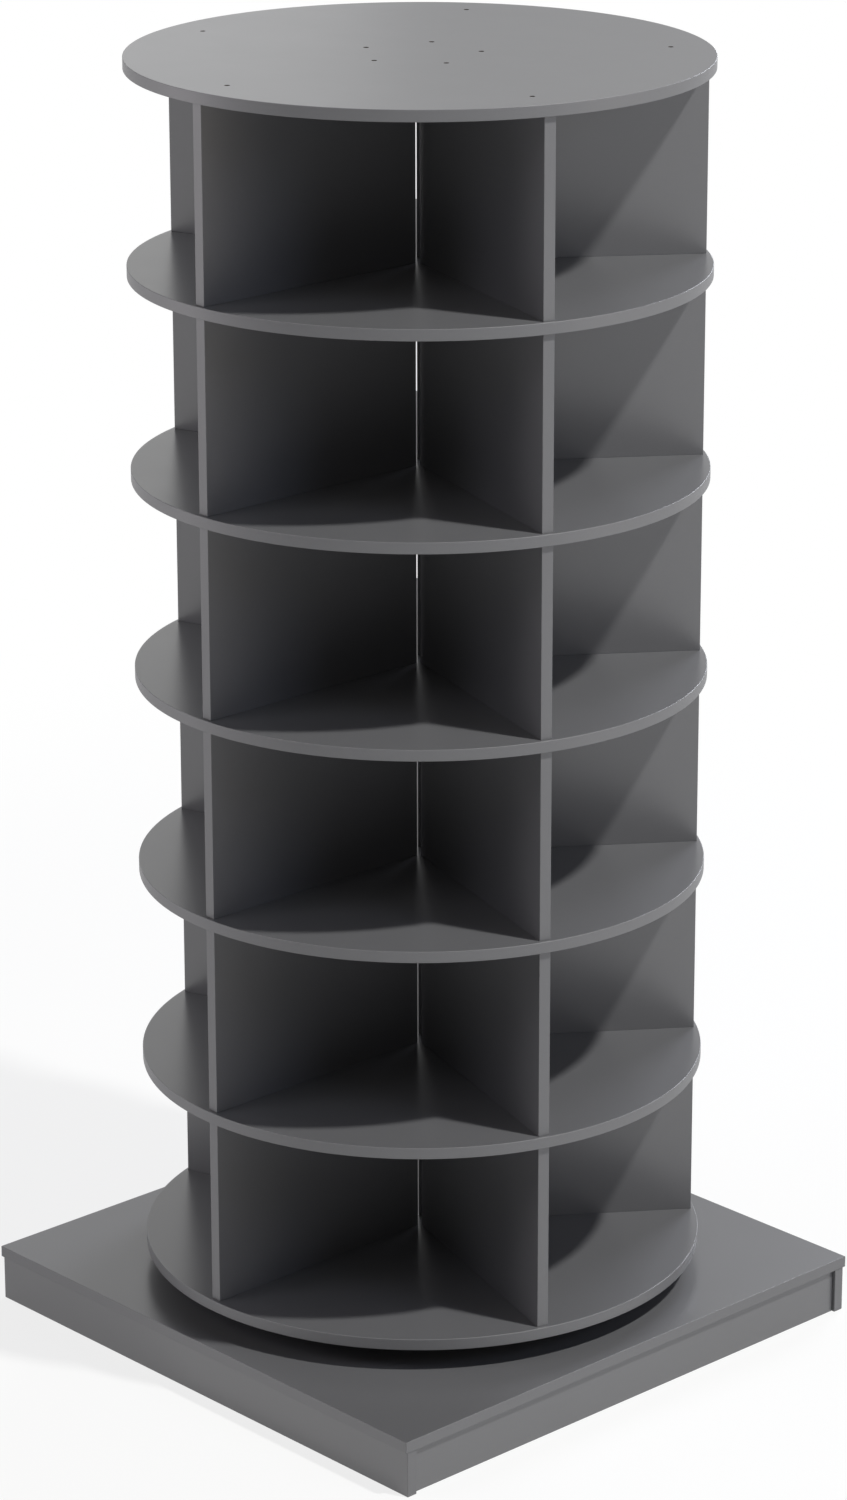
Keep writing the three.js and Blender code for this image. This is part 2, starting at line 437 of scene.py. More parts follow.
    def mesh(self, name: str) -> bpy.types.Mesh:
        """Writes the shell as a mesh.

        Points in the same place become one, and a face that loses a side or its whole area by that
        becomes a triangle or goes. Each face is turned so that it looks along its corners' normals.
        Without them, the faces are turned outwards and edges past the crease angle are sharp.

        Args:
            name: The mesh's name.

        Returns:
            The mesh.
        """
        points, normals = np.concatenate(self.points), np.concatenate(self.normals)
        marks, faces = np.concatenate(self.marks), np.concatenate(self.faces)
        skins = np.concatenate(self.skins)
        keys = np.round(points / MERGE_STEP + MERGE_SHIFT).astype(np.int64)
        _, first, merged = np.unique(keys, axis=0, return_index=True, return_inverse=True)
        corner_normals = normals[faces]
        one, two, three, four = (points[faces[:, corner]] for corner in range(4))
        span = np.cross(three - one, four - two)
        away = np.sum(span * corner_normals.sum(axis=1), axis=1) < 0
        faces[away], corner_normals[away] = faces[away, ::-1], corner_normals[away, ::-1]
        faces = merged.reshape(-1)[faces]
        kept = faces != np.roll(faces, -1, axis=1)
        sides = kept.sum(axis=1)
        quads, triangles = sides == 4, sides == 3
        kept = kept[triangles]
        polygons = faces[quads].tolist() + faces[triangles][kept].reshape(-1, 3).tolist()
        facing = [*corner_normals[quads].reshape(-1, 3), *corner_normals[triangles][kept]]
        skins = np.concatenate([skins[quads], skins[triangles]])
        mesh = bpy.data.meshes.new(name)
        mesh.from_pydata(points[first], [], polygons)
        mesh.polygons.foreach_set("material_index", skins)
        mesh.polygons.foreach_set("use_smooth", np.ones(len(polygons), bool))
        for mark, values in zip(Mark, marks[first].T):
            layer = mesh.attributes.new(mark.value, "FLOAT", "POINT")
            layer.data.foreach_set("value", values.astype(np.float32))
        mesh.update()
        if self.crease is None:
            mesh.normals_split_custom_set(facing)
            return mesh
        work = bmesh.new()
        work.from_mesh(mesh)
        bmesh.ops.recalc_face_normals(work, faces=work.faces)
        work.to_mesh(mesh)
        work.free()
        mesh.set_sharp_from_angle(angle=self.crease)
        return mesh


# Shader expressions


class Signal:
    """A shader value. Arithmetic on it adds Math nodes to its tree."""

    def __init__(self, brush: "Brush", socket: bpy.types.NodeSocket) -> None:
        """Wraps an output socket, with what adds nodes to its tree."""
        self.brush = brush
        self.socket = socket

    def _math(self, operation: str, *values: "float | Signal") -> "Signal":
        """One Math node on the values."""
        inputs = dict(enumerate(values))
        return self.brush.value("ShaderNodeMath", {"operation": operation}, inputs, 0)

    def __add__(self, other: "float | Signal") -> "Signal":
        """Sum."""
        return self._math("ADD", self, other)

    def __radd__(self, other: float) -> "Signal":
        """Sum with a number on the left."""
        return self._math("ADD", other, self)

    def __sub__(self, other: "float | Signal") -> "Signal":
        """Difference."""
        return self._math("SUBTRACT", self, other)

    def __rsub__(self, other: float) -> "Signal":
        """Difference from a number."""
        return self._math("SUBTRACT", other, self)

    def __mul__(self, other: "float | Signal") -> "Signal":
        """Product."""
        return self._math("MULTIPLY", self, other)

    def __rmul__(self, other: float) -> "Signal":
        """Product with a number on the left."""
        return self._math("MULTIPLY", other, self)

    def __pow__(self, other: "float | Signal") -> "Signal":
        """Power."""
        return self._math("POWER", self, other)

    def sine(self) -> "Signal":
        """Sine."""
        return self._math("SINE", self)

    def most(self, other: "float | Signal") -> "Signal":
        """The larger of the two."""
        return self._math("MAXIMUM", self, other)

    def ramped(self, low: float, high: float) -> "Signal":
        """A smooth step.

        Args:
            low: The bound below which the result is 0.
            high: The bound above which it is 1.

        Returns:
            The step.
        """
        settings = {"interpolation_type": "SMOOTHSTEP"}
        inputs = {"Value": self, "From Min": low, "From Max": high}
        return self.brush.value("ShaderNodeMapRange", settings, inputs, "Result")


class Brush:
    """Adds nodes to one material's tree."""

    def __init__(self, tree: bpy.types.NodeTree) -> None:
        """Starts on a tree, whose nodes are removed."""
        self.tree = tree
        tree.nodes.clear()

    def node(self, kind: str, settings: dict[str, object], inputs: Inputs) -> bpy.types.Node:
        """Adds a node.

        Args:
            kind: The node's type.
            settings: Its own settings, which are set first.
            inputs: A value, a Signal, or a node for its first output, for each input.

        Returns:
            The node.
        """
        made = self.tree.nodes.new(kind)
        for name, value in settings.items():
            setattr(made, name, value)
        for name, value in inputs.items():
            if isinstance(value, Signal):
                self.tree.links.new(value.socket, made.inputs[name])
            elif isinstance(value, bpy.types.Node):
                self.tree.links.new(value.outputs[0], made.inputs[name])
            else:
                made.inputs[name].default_value = value
        return made

    def value(
        self, kind: str, settings: dict[str, object], inputs: Inputs, output: str | int
    ) -> Signal:
        """Adds a node and gives one of its outputs as a Signal."""
        return Signal(self, self.node(kind, settings, inputs).outputs[output])

    def place(self) -> Signal:
        """The place on the piece, in metres."""
        return self.value("ShaderNodeTexCoord", {}, {}, "Object")

    def stretched(self, place: Signal, scale: Triple) -> Signal:
        """A place scaled along each axis, so that a pattern on it is drawn out."""
        inputs = {"Vector": place, "Scale": scale}
        return self.value("ShaderNodeMapping", {"vector_type": "POINT"}, inputs, "Vector")

    def noise(self, place: Signal, scale: float, detail: float = 2.0, rough: float = 0.5) -> Signal:
        """Noise from 0 to 1, with that many features to a metre."""
        inputs = {"Vector": place, "Scale": scale, "Detail": detail, "Roughness": rough}
        return self.value("ShaderNodeTexNoise", {"noise_dimensions": "3D"}, inputs, "Fac")

    def mark(self, mark: Mark) -> Signal:
        """A mark's number at this point of the surface."""
        return self.value("ShaderNodeAttribute", {"attribute_name": mark.value}, {}, "Fac")

    def ray(self, kind: Ray) -> Signal:
        """1 for rays of that kind, else 0."""
        return self.value("ShaderNodeLightPath", {}, {}, kind.value)

    def blend(self, low: Colour | Signal, high: Colour | Signal, share: Signal) -> Signal:
        """A colour between two others."""
        return self.value("ShaderNodeMix", {"data_type": "RGBA"}, {0: share, 6: low, 7: high}, 2)

    def relief(self, height: Signal, depth: float) -> Signal:
        """A normal tilted by a height from 0 to 1, over a depth in metres."""
        inputs = {"Height": height, "Distance": depth, "Strength": 1.0}
        return self.value("ShaderNodeBump", {}, inputs, "Normal")

    def radius(self, place: Signal) -> Signal:
        """The distance from the Z axis.

        Args:
            place: The place on the piece.

        Returns:
            The square root of x squared plus y squared.
        """
        parts = self.node("ShaderNodeSeparateXYZ", {}, {0: place}).outputs
        x, y = Signal(self, parts[0]), Signal(self, parts[1])
        return (x * x + y * y) ** 0.5


def grey(level: float, warmth: float = 0.0) -> Colour:
    """A linear grey, a little redder and less blue as its warmth grows."""
    return (level * (1 + warmth), level, level * (1 - warmth), 1.0)


def shaded(colour: Colour, factor: float) -> Colour:
    """A colour made darker or paler."""
    return (*(channel * factor for channel in colour[:3]), 1.0)


# Finishes


@dataclass(frozen=True)
class Finish:
    """A finish, which writes its own node tree."""

    name: str

    def inputs(self, brush: Brush, place: Signal) -> Inputs:
        """Adds the nodes and says what feeds the plain surface, in each finish that has it."""
        raise NotImplementedError

    def surface(self, brush: Brush) -> bpy.types.Node:
        """The surface's shader."""
        return brush.node("ShaderNodeBsdfPrincipled", {}, self.inputs(brush, brush.place()))

    def material(self) -> Material:
        """The finish as a material.

        Returns:
            A material of its own.
        """
        made = bpy.data.materials.new(self.name)
        made.use_nodes = True
        brush = Brush(made.node_tree)
        brush.node("ShaderNodeOutputMaterial", {}, {"Surface": self.surface(brush)})
        return made


@dataclass(frozen=True)
class PaintedBoard(Finish):
    """Satin grey lacquer on fibreboard: a fine orange peel, slow drift of tone, rubbed arrises.

    Roughness stays above 0.27, under which the render's denoiser leaves dark specks.
    """

    name: str = "grey_lacquer"
    colour: Colour = (0.1485, 0.1478, 0.1555, 1.0)
    tone_spread: float = 0.1
    rubbed: Colour = grey(0.235)
    roughness: float = 0.27
    gloss: float = 0.82
    index: float = 1.6
    relief_depth: float = 0.000014

    def inputs(self, brush: Brush, place: Signal) -> Inputs:
        """Tone from drift, peel and fleck, cut edges painted paler as painted light, rubbed
        arrises, and relief with fibres on cut edges.

        Args:
            brush: Adds the nodes.
            place: The place on the piece.

        Returns:
            What feeds the surface.
        """
        peel = brush.noise(place, scale=520, detail=3, rough=0.6)
        fleck = brush.noise(place, scale=1900, detail=1)
        drift = brush.noise(place, scale=4.5, detail=3, rough=0.55)
        smear = brush.noise(place, scale=17, detail=4, rough=0.6)
        fibre = brush.noise(brush.stretched(place, (1, 1, 2.6)), scale=340, detail=4, rough=0.7)
        edge, arris = brush.mark(Mark.EDGE), brush.mark(Mark.ARRIS)
        rub = brush.noise(place, scale=60, detail=5, rough=0.7).ramped(0.5, 0.78) * arris
        # the edge term paints the cut edges a little paler: painted light that brightens rims and
        # panel edges
        tone = 0.40 * drift + 0.35 * peel + 0.25 * fleck + 0.15 * edge
        dark, pale = (shaded(self.colour, 1 + side * self.tone_spread) for side in (-1, 1))
        return {
            "Base Color": brush.blend(brush.blend(dark, pale, tone), self.rubbed, 0.55 * rub),
            "Roughness": self.roughness + 0.03 * smear + 0.02 * peel + 0.20 * edge + 0.25 * arris,
            "Normal": brush.relief(peel + 0.25 * fleck + fibre * edge, self.relief_depth),
            "Specular IOR Level": self.gloss,
            "IOR": self.index,
        }


@dataclass(frozen=True)
class RawFibreboard(Finish):
    """The board's bare core, seen in the drilled holes. A near-black copy is painted shade in the
    screw seats.
    """

    name: str = "bare_fibreboard"
    pale: Colour = (0.42, 0.29, 0.17, 1.0)
    dark: Colour = (0.25, 0.15, 0.08, 1.0)
    roughness: float = 0.86
    relief_depth: float = 0.00012

    def inputs(self, brush: Brush, place: Signal) -> Inputs:
        """Short fibres in clumps.

        Args:
            brush: Adds the nodes.
            place: The place on the piece.

        Returns:
            What feeds the surface.
        """
        fibre = brush.noise(brush.stretched(place, (1, 1, 2.2)), scale=900, detail=5, rough=0.75)
        clump = brush.noise(place, scale=240, detail=3)
        return {
            "Base Color": brush.blend(self.dark, self.pale, 0.7 * fibre + 0.3 * clump),
            "Roughness": self.roughness + 0.1 * (fibre - 0.5),
            "Normal": brush.relief(fibre, self.relief_depth),
        }


@dataclass(frozen=True)
class BeechDowel(Finish):
    """Fluted beech: straight grain with short dark flecks."""

    name: str = "beech_dowel"
    pale: Colour = (0.60, 0.42, 0.25, 1.0)
    dark: Colour = (0.43, 0.27, 0.14, 1.0)
    roughness: float = 0.58
    relief_depth: float = 0.00006

    def inputs(self, brush: Brush, place: Signal) -> Inputs:
        """Noise drawn out along the dowel, and flecks on a finer one.

        Args:
            brush: Adds the nodes.
            place: The place on the piece.

        Returns:
            What feeds the surface.
        """
        grain = brush.noise(brush.stretched(place, (1, 1, 0.06)), scale=1400, detail=4, rough=0.6)
        fleck = brush.noise(brush.stretched(place, (1, 1, 0.25)), scale=2600).ramped(0.62, 0.74)
        return {
            "Base Color": brush.blend(self.pale, self.dark, 0.6 * grain + 0.5 * fleck),
            "Roughness": self.roughness + 0.12 * grain,
            "Normal": brush.relief(grain - 0.5 * fleck, self.relief_depth),
        }


@dataclass(frozen=True)
class BlackScrewSteel(Finish):
    """Steel with a black coating, rubbed a little brighter in patches."""

    name: str = "black_screw_steel"
    coat: Colour = grey(0.012)
    rubbed: Colour = grey(0.09)
    roughness: float = 0.48
    bare_metal: float = 0.3
    gloss: float = 0.25
    relief_depth: float = 0.00002

    def inputs(self, brush: Brush, place: Signal) -> Inputs:
        """A grainy coat, with rubbed patches and fine relief.

        Args:
            brush: Adds the nodes.
            place: The place on the piece.

        Returns:
            What feeds the surface.
        """
        grain = brush.noise(place, scale=2400, detail=3, rough=0.6)
        rub = brush.noise(place, scale=700, detail=4, rough=0.65).ramped(0.56, 0.76)
        return {
            "Base Color": brush.blend(self.coat, self.rubbed, 0.5 * rub),
            "Roughness": self.roughness + 0.2 * grain - 0.08 * rub,
            "Metallic": self.bare_metal + 0.4 * rub,
            "Normal": brush.relief(grain, self.relief_depth),
            "Specular IOR Level": self.gloss,
        }


@dataclass(frozen=True)
class TurnedAluminium(Finish):
    """Bright turned aluminium: fine rings left by the tool, and a light handling haze."""

    name: str = "turned_aluminium"
    bright: Colour = grey(0.66, -0.01)
    dull: Colour = grey(0.48, -0.02)
    ring_pitch: float = 0.0004
    roughness: float = 0.27
    relief_depth: float = 0.000008

    def inputs(self, brush: Brush, place: Signal) -> Inputs:
        """Relief is the sine of the radius over the ring pitch, shifted by the haze.

        Args:
            brush: Adds the nodes.
            place: The place on the piece.

        Returns:
            What feeds the surface.
        """
        haze = brush.noise(place, scale=55, detail=4, rough=0.6)
        grain = brush.noise(place, scale=1800)
        rings = (brush.radius(place) * (FULL_TURN / self.ring_pitch) + 2.2 * haze).sine()
        return {
            "Base Color": brush.blend(self.bright, self.dull, 0.7 * haze + 0.3 * grain),
            "Roughness": self.roughness + 0.14 * haze + 0.03 * rings,
            "Metallic": 1.0,
            "Normal": brush.relief(rings + grain, self.relief_depth),
        }


@dataclass(frozen=True)
class CagePlastic(Finish):
    """Natural moulded plastic, faintly mottled."""

    name: str = "natural_plastic"
    pale: Colour = grey(0.66, 0.03)
    deep: Colour = grey(0.52, 0.07)
    roughness: float = 0.38
    relief_depth: float = 0.00002
    scatter: float = 0.08
    scatter_depth: float = 0.002

    def inputs(self, brush: Brush, place: Signal) -> Inputs:
        """Cloudy colour and a fine moulded texture.

        Args:
            brush: Adds the nodes.
            place: The place on the piece.

        Returns:
            What feeds the surface.
        """
        cloud = brush.noise(place, scale=60, detail=4, rough=0.6)
        spark = brush.noise(place, scale=1500)
        return {
            "Base Color": brush.blend(self.pale, self.deep, cloud),
            "Roughness": self.roughness + 0.14 * spark,
            "Normal": brush.relief(spark, self.relief_depth),
            "Subsurface Weight": self.scatter,
            "Subsurface Scale": self.scatter_depth,
        }


@dataclass(frozen=True)
class BallSteel(Finish):
    """Polished bearing steel under a thin film of grease."""

    name: str = "ball_steel"
    bright: Colour = grey(0.62)
    film: Colour = grey(0.46, 0.03)
    roughness: float = 0.07
    relief_depth: float = 0.000006

    def inputs(self, brush: Brush, place: Signal) -> Inputs:
        """A smeared film over polish.

        Args:
            brush: Adds the nodes.
            place: The place on the piece.

        Returns:
            What feeds the surface.
        """
        film = brush.noise(place, scale=420, detail=3, rough=0.6).ramped(0.4, 0.7)
        return {
            "Base Color": brush.blend(self.bright, self.film, film),
            "Roughness": self.roughness + 0.16 * film,
            "Metallic": 1.0,
            "Normal": brush.relief(film, self.relief_depth),
        }


@dataclass(frozen=True)
class PaleFloor(Finish):
    """A matt pale floor that the camera sees as mostly white light, with the shadow left in."""

    name: str = "pale_floor"
    shown_white: float = 0.8
    shadow_ends: Pair = (1.4, 3.0)
    colour: Colour = grey(1.0)
    bounce: Colour = grey(0.6)
    bounce_pale: Colour = grey(0.62)

    def surface(self, brush: Brush) -> bpy.types.Node:
        """For rays that show it, white light with some paint near the tower; else plain paint.

        Args:
            brush: Adds the nodes.

        Returns:
            The surface's shader.
        """
        seen = brush.ray(Ray.CAMERA).most(brush.ray(Ray.GLOSSY)).most(brush.ray(Ray.THROUGH))
        place = brush.place()
        cloud = brush.noise(place, scale=1.5, detail=3)
        ground = brush.blend(self.bounce, self.bounce_pale, cloud)
        plain = brush.node("ShaderNodeBsdfDiffuse", {}, {"Color": ground})
        paint = brush.node("ShaderNodeBsdfDiffuse", {}, {"Color": self.colour})
        white = brush.node("ShaderNodeEmission", {}, {"Color": grey(1.0), "Strength": 1.0})
        far = brush.radius(place).ramped(*self.shadow_ends)
        share = self.shown_white + (1 - self.shown_white) * far
        shown = brush.node("ShaderNodeMixShader", {}, {0: share, 1: paint, 2: white})
        return brush.node("ShaderNodeMixShader", {}, {0: seen, 1: plain, 2: shown})


def coat(finish: Finish) -> Material:
    """A field of the palette, which makes the finish's material with it."""
    return field(default_factory=finish.material)


@dataclass
class Palette:
    """Every finish as a material, made once."""

    board: Material = coat(PaintedBoard())
    core: Material = coat(RawFibreboard())
    # near-black fibreboard for the top disc's screw-seat walls: painted shade in those recesses
    seat_painted_shade: Material = coat(
        RawFibreboard(
            "seat_shade_fibreboard",
            pale=(0.060, 0.045, 0.032, 1.0),
            dark=(0.026, 0.020, 0.015, 1.0),
        )
    )
    dowel: Material = coat(BeechDowel())
    screw: Material = coat(BlackScrewSteel())
    ring: Material = coat(TurnedAluminium())
    cage: Material = coat(CagePlastic())
    ball: Material = coat(BallSteel())


def show(
    shell: Shell, name: str, node: str, body: Body, materials: list[Material]
) -> None:
    """Puts a shell in the scene in place of a CAD node.

    Args:
        shell: The finished surface, in place.
        name: The piece's name.
        node: The CAD node that it stands for.
        body: The body that it rides on.
        materials: Its finishes, in the order of the shell's skins.
    """
    piece = bpy.data.objects.new(name, shell.mesh(name))
    for material in materials:
        piece.data.materials.append(material)
    bpy.context.scene.collection.objects.link(piece)
    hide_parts(node)
    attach(piece, body.value)
    log.info("%s stands for %s with %d faces", name, node, len(piece.data.polygons))


# Sub-assemblies


@dataclass
class Plinth:
    """The square plinth: a top board on four aprons and two half-lapped rails."""

    palette: Palette
    width: float = 0.800
    depth: float = 0.800
    board: float = 0.015
    apron_height: float = 0.061
    apron_length: float = 0.798
    apron_face: float = 0.3965
    side_face: float = 0.39425
    lap_clearance: float = 0.0003
    arris: float = 0.0008

    @property
    def top(self) -> float:
        """Height of the top board's upper face."""
        return self.apron_height + self.board

    def top_board(self) -> Shell:
        """The top board, on the aprons."""
        half = np.array([self.width, self.depth]) / 2
        return Shell().slab(Outline.rectangle(-half, half, self.arris), self.apron_height, self.top)

    def apron(self, corner: Pair, opposite: Pair, broad: Broad) -> Shell:
        """An apron between two opposite corners of its plan."""
        outline = Outline.rectangle(corner, opposite, self.arris)
        return Shell().slab(outline, 0.0, self.apron_height, broad=broad)

    def rail(self, half_length: float, lap_from_above: bool, lie: Lie) -> Shell:
        """A rail on edge with the notch of its half lap, as an outline carried through the board.

        Args:
            half_length: Half of its length.
            lap_from_above: Whether the notch opens upwards, or else downwards in the mirror image.
            lie: How it lies.

        Returns:
            The rail, in its place.
        """
        height, half_lap = self.apron_height, self.board / 2 + self.lap_clearance
        floor = (height - self.lap_clearance) / 2
        notch = [(half_lap, height), (half_lap, floor), (-half_lap, floor), (-half_lap, height)]
        ends = [(-half_length, height), (-half_length, 0), (half_length, 0), (half_length, height)]
        loop = np.array(ends + notch, float)
        if not lap_from_above:
            loop = (loop * (1, -1) + (0, height))[::-1]
        slab = Shell().slab(Outline.filleted(loop, self.arris), -self.board / 2, self.board / 2)
        return slab.moved(np.eye(3)[:, list(lie.value)])

    def build(self) -> None:
        """Builds the plinth's seven boards."""
        end, face, side = self.apron_length / 2, self.apron_face, self.side_face
        inner, side_inner = face - self.board, side - self.board
        shells = {
            "plinth_top_board": self.top_board(),
            "front_apron": self.apron((-end, -face), (end, -inner), Broad.Y),
            "rear_apron": self.apron((-end, inner), (end, face), Broad.Y),
            "left_apron": self.apron((-side, -inner), (-side_inner, inner), Broad.X),
            "right_apron": self.apron((side_inner, -inner), (side, inner), Broad.X),
            "cross_rail": self.rail(side_inner, True, Lie.ALONG_X),
            "long_rail": self.rail(inner, False, Lie.ALONG_Y),
        }
        for node, shell in shells.items():
            show(shell, f"{node}_painted", node, Body.PLINTH, [self.palette.board])


@dataclass
class RingBearing:
    """The ring bearing: grooved rings on the plinth and under the drum, balls in a cage between."""

    palette: Palette
    foot: float
    height: float = 0.015
    pitch_radius: float = 0.190
    ring_height: float = 0.013
    ring_width: float = 0.020
    ring_gap: float = 0.003
    ring_arris: float = 0.0004
    ring_arris_steps: int = 3
    ring_columns: int = 180
    groove_steps: int = 14
    race_clearance: float = 0.0004
    ball_radius: float = 0.004
    ball_count: int = 15
    ball_rows: int = 13
    ball_columns: int = 24
    cage_half_thickness: float = 0.0007
    cage_half_height: float = 0.0025
    cage_arris: float = 0.0003
    cage_columns: int = 24
    cage_crease: float = math.radians(50)
    pocket_swell: float = 0.7
    pocket_rise: float = 0.45
    pocket_sharpness: int = 8

    @property
    def ball_height(self) -> float:
        """Height of the balls' centres."""
        return self.foot + self.height / 2

    def ring(self, bottom: float, groove_side: Groove) -> Shell:
        """A ring with a groove for the balls.

        The profile is a rectangle whose gap wall is hollowed by an arc about the balls' circle:
        radius = pitch - side * groove * cos a, height = ball height + groove * sin a.

        Args:
            bottom: Height of the ring's lower face.
            groove_side: The way that its groove looks.

        Returns:
            The ring.
        """
        side = groove_side.value
        wall = self.pitch_radius - side * self.ring_gap / 2
        back, top = wall - side * self.ring_width, bottom + self.ring_height
        groove = self.ball_radius + self.race_clearance
        mouth = math.acos(self.ring_gap / 2 / groove)
        sweep = np.linspace(-mouth, mouth, self.groove_steps + 1)
        radius = self.pitch_radius - side * groove * np.cos(sweep)
        hollow = np.column_stack([radius, self.ball_height + groove * np.sin(sweep)])
        corners = np.array([(back, bottom), (wall, bottom), *hollow, (wall, top), (back, top)])
        outline = Outline.filleted(corners[::side], self.ring_arris, self.ring_arris_steps)
        return Shell().revolved(outline, self.ring_columns)

    def cage(self) -> Shell:
        """The band that spaces the balls, swollen to a pocket round each of them.

        A point is the band's rectangle scaled about its middle: the half thickness and the half
        height grow by a bump, which is cos(ball_count * angle / 2) to the power of the pockets'
        sharpness, and so 1 at a ball.

        Returns:
            The band.
        """
        angle = turn_angles(self.ball_count * self.cage_columns)
        bump = np.cos(self.ball_count * angle / 2) ** self.pocket_sharpness
        half = np.array([self.cage_half_thickness, self.cage_half_height])
        section = Outline.rectangle(-half, half, self.cage_arris).samples()
        radius = self.pitch_radius + section[:, :1] * (1 + self.pocket_swell * bump)
        height = self.ball_height + section[:, 1:] * (1 + self.pocket_rise * bump)
        shell = Shell(crease=self.cage_crease)
        shell.grid(around(radius, height, angle), closed_rows=True)
        return shell

    def balls(self) -> Shell:
        """The balls, as grids of latitude and longitude.

        Returns:
            All of them as one shell.
        """
        latitude = np.linspace(-QUARTER_TURN, QUARTER_TURN, self.ball_rows)[:, None]
        facing = around(np.cos(latitude), np.sin(latitude), turn_angles(self.ball_columns))
        shell = Shell()
        for angle in turn_angles(self.ball_count):
            centre = np.array([*polar(self.pitch_radius, angle), self.ball_height])
            shell.grid(centre + self.ball_radius * facing, facing)
        return shell

    def build(self) -> None:
        """Builds the two rings, the cage and the balls."""
        outer, inner, cage = "bearing_outer_ring", "bearing_inner_ring", "bearing_ball_cage"
        fixed = self.ring(self.foot, Groove.INWARDS)
        turning = self.ring(self.foot + self.height - self.ring_height, Groove.OUTWARDS)
        metal = [self.palette.ring]
        show(fixed, f"{outer}_turned", outer, Body.PLINTH, metal)
        show(turning, f"{inner}_turned", inner, Body.DRUM, metal)
        show(self.cage(), "bearing_cage_band", cage, Body.CAGE, [self.palette.cage])
        show(self.balls(), "bearing_balls", cage, Body.CAGE, [self.palette.ball])


@dataclass
class TopScrew:
    """A black screw that hangs from the top of its head, sunk in the top disc."""

    length: float = 0.045
    head_radius: float = 0.003
    head_edge: float = 0.001
    head_cone: float = 0.002
    head_rounding: float = 0.0002
    shank_radius: float = 0.00175
    plain_length: float = 0.003
    thread_run_out: float = 0.001
    thread_pitch: float = 0.0018
    ridge_slope: float = 3.2
    root_radius: float = 0.00125
    point: float = 0.006
    socket_flats: float = 0.0015
    socket_depth: float = 0.002
    socket_cone: float = 0.0004
    columns: int = 24
    row_step: float = 0.0004
    crease: float = math.radians(38)

    @property
    def neck(self) -> float:
        """Height of the shank's top, under the cone of the head."""
        return -self.head_edge - self.head_cone

    def thread(self, angle: Array) -> Array:
        """The threaded shank and the point.

        The radius is the root plus a ridge, one less the distance, in thread pitches times the
        ridge's slope, to the nearest crest of a helix, cut off at nothing. Under the neck the
        shank is plain, and towards the tip the radius shrinks with the height.

        Args:
            angle: The angle of each column.

        Returns:
            Points, as rows by columns by three.
        """
        rows = int((self.length + self.neck) / self.row_step)
        height = np.linspace(-self.length, self.neck, rows)[:, None]
        phase = (height / self.thread_pitch - angle / FULL_TURN) % 1.0
        ridge = np.clip(1 - self.ridge_slope * np.abs(phase - 0.5), 0, 1)
        plain = np.clip((height - self.neck + self.plain_length) / self.thread_run_out, 0, 1)
        rise = (self.shank_radius - self.root_radius) * np.maximum(ridge * (1 - plain), plain)
        taper = np.clip((height + self.length) / self.point, 0, 1)
        return around((self.root_radius + rise) * taper, height, angle)

    def head(self, angle: Array) -> Array:
        """The cone, the edge, the flat and the hexagonal socket of the head, as rows downwards in.

        The socket's radius is half its flats over the cosine of the angle to the nearest flat.

        Args:
            angle: The angle of each column.

        Returns:
            Points, as rows by columns by three.
        """
        rim, rounding, depth = self.head_radius, self.head_rounding, self.socket_depth
        outside = np.array([[self.shank_radius], [rim], [rim], [rim - rounding]]) + 0 * angle
        sixth = FULL_TURN / 6
        hexagon = self.socket_flats / np.cos((angle + sixth / 2) % sixth - sixth / 2)
        radius = np.stack([*outside, hexagon, hexagon, 0 * angle])
        heights = (self.neck, -self.head_edge, -rounding, 0, 0, -depth, -depth - self.socket_cone)
        return around(radius, np.array(heights)[:, None], angle)

    def shell(self) -> Shell:
        """The whole screw.

        Returns:
            The screw, about the Z axis, with the top of its head at nought.
        """
        angle = turn_angles(self.columns)
        whole = Shell(crease=self.crease)
        whole.grid(np.concatenate([self.thread(angle), self.head(angle)]))
        return whole


